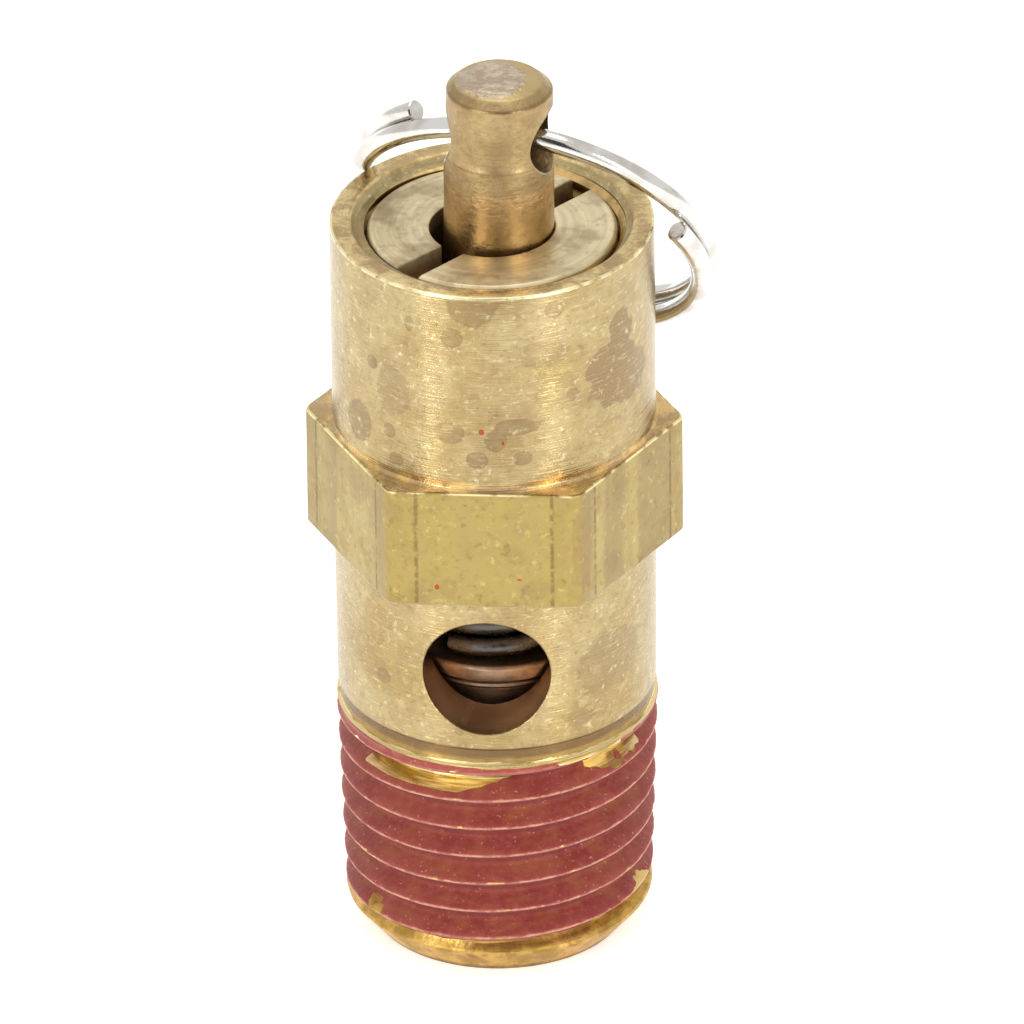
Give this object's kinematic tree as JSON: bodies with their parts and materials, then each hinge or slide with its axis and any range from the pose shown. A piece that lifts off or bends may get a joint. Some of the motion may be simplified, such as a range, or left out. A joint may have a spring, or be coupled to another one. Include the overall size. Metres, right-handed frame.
{
  "type": "pressure relief valve",
  "caption": "Small brass pull-ring relief valve for compressed air: pipe-threaded inlet, hexagon, side discharge holes and a spring-loaded poppet lifted by a ringed stem.",
  "frame": {"origin": "on the valve's axis, in the plane of the inlet end face", "axes": "+Z along the valve's axis from the inlet to the pull ring; -Y towards the discharge hole that faces the viewer, which is turned 4 degrees towards -X"},
  "size_m": [0.0179, 0.0172, 0.0413],
  "materials": {
    "body_brass": "machined, lightly tarnished",
    "sealant": "dried paste, matte",
    "poppet_brass": "dark, tarnished",
    "elastomer": "matte",
    "spring_wire": "dark drawn wire",
    "washer_brass": "stamped",
    "screw_brass": "faced on a lathe",
    "stem_brass": "aged, brownish",
    "ring_plate": "bright nickel plate"
  },
  "bodies": {
    "body": {"valve_body": "body_brass", "thread_sealant": "sealant", "valve_spring": "spring_wire"},
    "washer": {"spring_washer": "washer_brass"},
    "screw": {"adjusting_screw": "screw_brass"},
    "stem": {"pull_stem": "stem_brass", "poppet": "poppet_brass", "seat_disc": "elastomer"},
    "ring": {"pull_ring": "ring_plate"}
  },
  "joints": [
    {"name": "washer_travel", "type": "slide", "parent": "body", "child": "washer", "axis": [0, 0, 1], "range_m": [-0.00159, 0]},
    {"name": "adjusting_turn", "type": "hinge", "parent": "washer", "child": "screw", "pos_m": [0, 0, 0.031], "axis": [0, 0, 1], "range_deg": [-720, 0]},
    {"name": "stem_lift", "type": "slide", "parent": "body", "child": "stem", "axis": [0, 0, 1], "range_m": [0, 0.0015], "stiffness_N_per_m": 6500, "deforming": ["valve_spring"]},
    {"name": "ring_swing", "type": "hinge", "parent": "stem", "child": "ring", "pos_m": [0.00033, 0.00007, 0.03862], "axis": [0.9426, -0.3338, 0], "range_deg": [0, 282]}
  ],
  "couplings": [
    {"joint": "adjusting_turn", "follows": "washer_travel", "rad_per_m": 7915.8}
  ]
}
